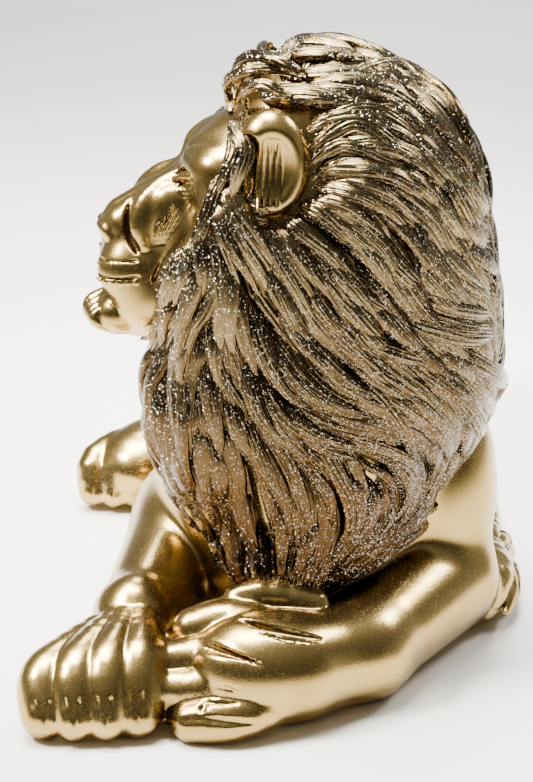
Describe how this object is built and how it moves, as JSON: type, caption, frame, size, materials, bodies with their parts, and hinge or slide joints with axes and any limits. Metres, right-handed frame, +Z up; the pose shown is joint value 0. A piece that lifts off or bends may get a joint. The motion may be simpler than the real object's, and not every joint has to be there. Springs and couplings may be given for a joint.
{
  "type": "lion figurine",
  "caption": "Lying lion figurine with a full combed mane and its head turned to one side, cast as one solid piece with a flat underside.",
  "frame": {"origin": "middle of the figure's footprint, on the surface it stands on", "axes": "+Z up; the body lies along Y with the chest at -Y and the rump at +Y; the head is turned to -X, the lion's right"},
  "size_m": [0.1503, 0.2761, 0.1867],
  "materials": {
    "gold_paint": "champagne gold metallic paint, with glitter in the mane"
  },
  "bodies": {
    "root": {"lion": "gold_paint"}
  },
  "joints": []
}
